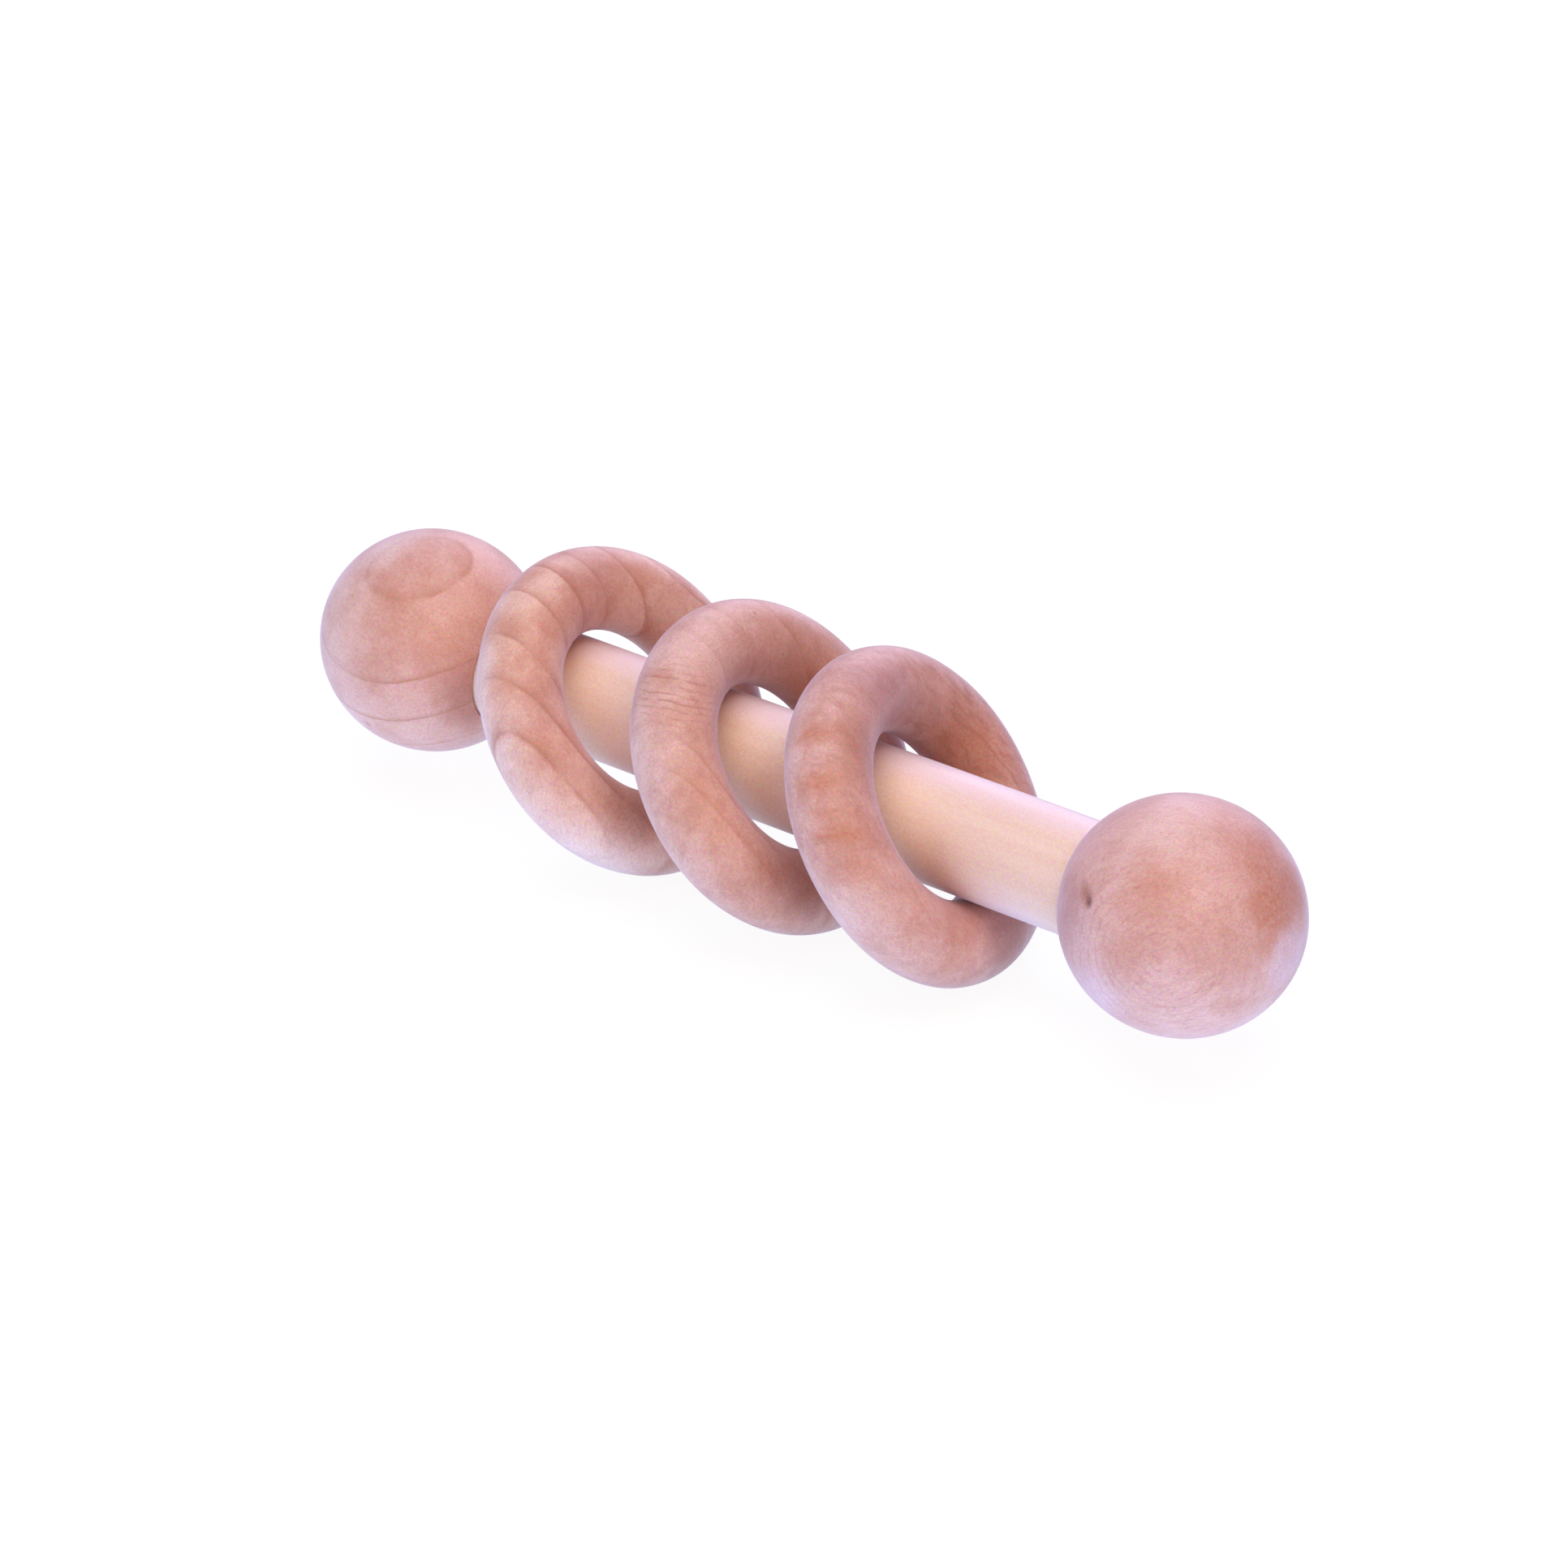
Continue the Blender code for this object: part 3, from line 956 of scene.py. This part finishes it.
# %% Back ball
back_ball_timber = turned_timber(
    "back_ball_timber",
    pith=(131.9, -41.8, -62.1),
    grain=(0.916, -0.347, -0.201),
    years=(28.0, 36.1, 43.1, 51.4, 58.0),
    pale=tone(226, 171, 155),
    deep=tone(212, 150, 129),
    line=0.62,
    fade=-1.3,
    marks=back_ball_marks,
)
back_ball = drilled_ball("ball_back", -1, back_ball_timber, seed=2.9, carve=nick_back_ball)

# %% [markdown]
# ### The front ball
# The front ball shows fine curved fibres round its near side, warm orange-brown clouds on the
# right with a painted lilac bounce light below them, and the pin knot with a brown streak running
# away from it. A painted lilac bounce light also lies on its lower left, and a painted mauve shade
# on its left side. The fibres are ripples in the distance from an axis through the near side.

# %% Stains, swirl and knot of the front ball
KNOT = (-7.2, -16.0, 7.7)
KNOT_RUN = tuple(Vector((-0.25, 0.51, 0.82)).normalized())
STREAK_RUN = tuple(Vector((-0.70, 0.55, 0.46)).normalized())
KNOT_TONE = tone(104, 54, 46)
LILAC_BOUNCE_TONE = tone(236, 203, 217)
SWIRL = (7.1, -17.5, 3.0)
SWIRL_AXIS = tuple(Vector((0.37, -0.91, 0.16)).normalized())
SWIRL_GAP = 1.35
SWIRL_SHARE = 0.20
SWIRL_SWAY = (9.0, 3.0)
SWIRL_SHAKE = (1.8, 0.3)
SWIRL_AREA = ((1.0, -18.0, 1.0), 14.0, 6.0)
STREAK_START = 1.4
STREAK_SHARE = 0.74
KNOT_SHARE = 0.9
ON_KNOT = (0.0, 0.0, 0.0)


def front_ball_marks(tree, place, colour):
    colour = blotches(tree, place, colour, ORANGE_TONE, (
        ((17.3, -2.4, 8.8), 4.0, 2.4, 0.86),
        ((13.0, 1.4, 14.2), 5.4, 3.8, 0.70),
        ((16.4, 5.0, 8.6), 3.4, 2.6, 0.70),
        ((2.6, 5.8, 17.8), 4.0, 3.0, 0.44),
        ((16.6, 5.8, 7.6), 4.0, 3.0, 0.50),
        ((18.6, -5.2, 3.4), 2.4, 1.8, 0.34),
        ((3.8, -11.7, 14.6), 4.6, 4.0, 0.26),
        ((1.8, -16.6, 9.3), 3.6, 3.4, 0.24),
        ((0.3, -19.0, 1.7), 3.4, 3.2, 0.20),
        ((15.2, -10.7, -5.7), 2.0, 1.6, 0.30),
    ))
    # Painted bounce light: lilac below the orange clouds on the right, and on the lower left.
    colour = soft_stains(tree, place, colour, LILAC_BOUNCE_TONE, (
        ((19.4, -0.6, 0.4), 4.6, 1.6, 0.36),
        ((-5.0, -17.2, -7.4), 5.0, 3.5, 0.36),
    ))
    # Painted shade: mauve on the left side.
    colour = soft_stains(tree, place, colour, MAUVE_SHADE_TONE, (((-10.4, -15.2, 4.6), 4.5, 3.5, 0.26),))
    colour = soft_stains(tree, place, colour, PALE_AND_PAINTED_LIGHT_TONE, (((-1.8, -4.8, 18.0), 6.0, 5.0, 0.30),))
    swayed = wandering(tree, wandering(tree, place, *SWIRL_SWAY), *SWIRL_SHAKE)
    arcs = ripples(tree, from_pith(tree, swayed, SWIRL, SWIRL_AXIS), SWIRL_GAP)
    broken = between(tree, cloud(tree, place, size=3.6), low=0.34, high=0.66)
    around = times(tree, broken, patch(tree, place, *SWIRL_AREA))
    swirl = times(tree, times(tree, arcs, around), SWIRL_SHARE)
    colour = glaze(tree, swirl, colour, YEAR_LINE_AND_SHADE_TONE)
    from_knot = vectors(tree, "SUBTRACT", place, KNOT)
    trail = vectors(tree, "SUBTRACT", from_knot, tuple(STREAK_START * side for side in STREAK_RUN))
    trail = drawn_out(tree, trail, STREAK_RUN, stretch=1.7)
    streak = patch(tree, trail, ON_KNOT, radius=1.05, soft=0.95)
    colour = glaze(tree, times(tree, streak, STREAK_SHARE), colour, BROWN_TONE)
    oval = drawn_out(tree, from_knot, KNOT_RUN, stretch=1.5)
    core = patch(tree, oval, ON_KNOT, radius=0.52, soft=0.40)
    return glaze(tree, times(tree, core, KNOT_SHARE), colour, KNOT_TONE)


def knot_front_ball(turned):
    press_pit(turned, KNOT, KNOT_RUN, depth=0.34 * MM, width=0.52 * MM, length=0.75 * MM)


print("knot at", KNOT, "mm from the middle of the front ball")

# %% Front ball
front_ball_timber = turned_timber(
    "front_ball_timber",
    pith=(-6.0, 18.2, -8.5),
    grain=(0.80, 0.43, 0.42),
    years=(28.5, 30.2, 31.8, 33.1, 34.3, 35.6, 36.7, 37.8),
    pale=tone(227, 175, 164),
    deep=tone(216, 158, 142),
    line=0.10,
    fade=1.3,
    mottle=0.18,
    marks=front_ball_marks,
)
front_ball = drilled_ball("ball_front", +1, front_ball_timber, seed=8.2, carve=knot_front_ball)

# %% [markdown]
# ## The stick
# The stick is a length of pale dowel, paler than the rings. Its grain runs straight along it,
# so its fibres are drawn out much further, and it has no year lines. It is painted a little darker
# in the middle, where shade falls between the rings, with two painted shadows by the front ring,
# a painted lilac bounce light low by the front ball, and a painted lilac highlight on its upper
# side. It could share the rings' timber, but a wood of its own keeps it plain and pale.

# %% Stick timber
ALONG_STICK = (1.0, 0.0, 0.0)
STICK_PALE = tone(243, 206, 186)
STICK_DEEP = tone(238, 197, 174)
STICK_STREAK = tone(214, 164, 136)
BETWEEN_RINGS_SHADE_TONE = tone(206, 148, 112)
BETWEEN_RINGS_MIDDLE = -8.0
BETWEEN_RINGS_REACH = (24.0, 42.0)
BETWEEN_RINGS_SHARE = 0.10
CONTACT_SHADOW_TONE = tone(184, 124, 94)
STICK_LILAC_LIGHT = tone(246, 212, 222)
UPWARD = (0.0, 0.17, 0.985)
UPPER_SIDE = (7.4, 9.6)
UPPER_HIGHLIGHT_SHARE = 0.48
STICK_SHEEN = (0.62, 0.64, 1.0, 1.0)
STICK_FIBRE_STRETCH = 30.0
STICK_BAND_STRETCH = 16.0
STICK_FIBRE_SHARE = 0.12
STICK_SPECKLE_SHARE = 0.52
STICK_ROUGHNESS = (0.40, 0.52)


def stick_painted_light_and_shade(tree, place, colour):
    # Painted shade: the stick is darker in the middle, where shade falls between the rings.
    along = vectors(tree, "DOT_PRODUCT", place, ALONG_STICK)
    from_middle = sums(tree, "ABSOLUTE", sums(tree, "SUBTRACT", along, BETWEEN_RINGS_MIDDLE))
    between_rings_shade = between(tree, from_middle, *BETWEEN_RINGS_REACH, BETWEEN_RINGS_SHARE, 0.0)
    colour = glaze(tree, between_rings_shade, colour, BETWEEN_RINGS_SHADE_TONE)
    # Painted shadows where the front ring shades the stick, at its left edge and below where the stick
    # leaves it.
    colour = soft_stains(tree, place, colour, CONTACT_SHADOW_TONE, (
        ((35.0, -8.8, -3.8), 5.5, 4.5, 0.46),
        ((4.0, -9.2, 1.6), 5.0, 4.0, 0.30),
    ))
    # Painted lilac bounce light low on the stick by the front ball.
    colour = soft_stains(tree, place, colour, STICK_LILAC_LIGHT, (((50.0, -5.6, -7.8), 6.5, 5.0, 0.45),))
    # Painted highlight: the upper side is lilac-pink where the overhead light falls.
    height = vectors(tree, "DOT_PRODUCT", place, UPWARD)
    return glaze(tree, between(tree, height, *UPPER_SIDE, 0.0, UPPER_HIGHLIGHT_SHARE), colour, STICK_LILAC_LIGHT)


def stick_timber_finish():
    finish, tree = blank_finish("stick_timber")
    place = place_in_block(tree)
    fibre_place = drawn_out(tree, place, ALONG_STICK, STICK_FIBRE_STRETCH)
    fibre = cloud(tree, fibre_place, size=0.45, detail=3.0, rough=0.6)
    bands = cloud(tree, drawn_out(tree, place, ALONG_STICK, STICK_BAND_STRETCH), size=3.5)
    colour = glaze(tree, between(tree, bands, low=0.25, high=0.75), STICK_PALE, STICK_DEEP)
    fibres = between(tree, fibre, low=0.4, high=0.8, out_high=STICK_FIBRE_SHARE)
    colour = glaze(tree, fibres, colour, STICK_STREAK)
    colour = stick_painted_light_and_shade(tree, place, colour)
    colour = speckled(tree, place, colour, STICK_SPECKLE_SHARE)
    roughness = between(tree, fibre, *FIBRE_RANGE, *STICK_ROUGHNESS)
    oiled_surface(tree, colour, roughness, fibre, depth=0.10, sheen=0.50, sheen_tint=STICK_SHEEN)
    return finish


stick_timber = stick_timber_finish()
print(stick_timber.name, "with", len(stick_timber.node_tree.nodes), "nodes")

# %% The stick itself
STICK_TURNS = 96
STICK_POINTS = 150
STICK_CHAMFER = 1.2 * MM
STICK_SANDING = 16.0 * MM


def turned_stick():
    low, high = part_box("dowel")
    centre, half_length = (low + high) / 2, (high.x - low.x) / 2
    radius = (high.z - low.z) / 2
    flat = half_length - STICK_CHAMFER
    outline = [(half_length, 0.0), (half_length, radius - STICK_CHAMFER)]
    outline += [(flat - 2 * flat * step / STICK_POINTS, radius) for step in range(STICK_POINTS + 1)]
    outline += [(-half_length, radius - STICK_CHAMFER), (-half_length, 0.0)]
    turned = spun(outline, STICK_TURNS)
    sanded(turned, STICK_SANDING, SANDING_DEPTH, seed=5.5)
    piece = wooden_piece("dowel_turned", turned, centre, stick_timber, "handle")
    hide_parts("dowel")
    return piece


stick = turned_stick()

# %% [markdown]
# ## The finished pieces
# The finish must not make the rattle bigger. The names of the finished pieces are printed.

# %% List the finished pieces
pieces = (stick, back_ball, front_ball, back_ring, middle_ring, front_ring)
print("finished pieces:", [piece.name for piece in pieces])
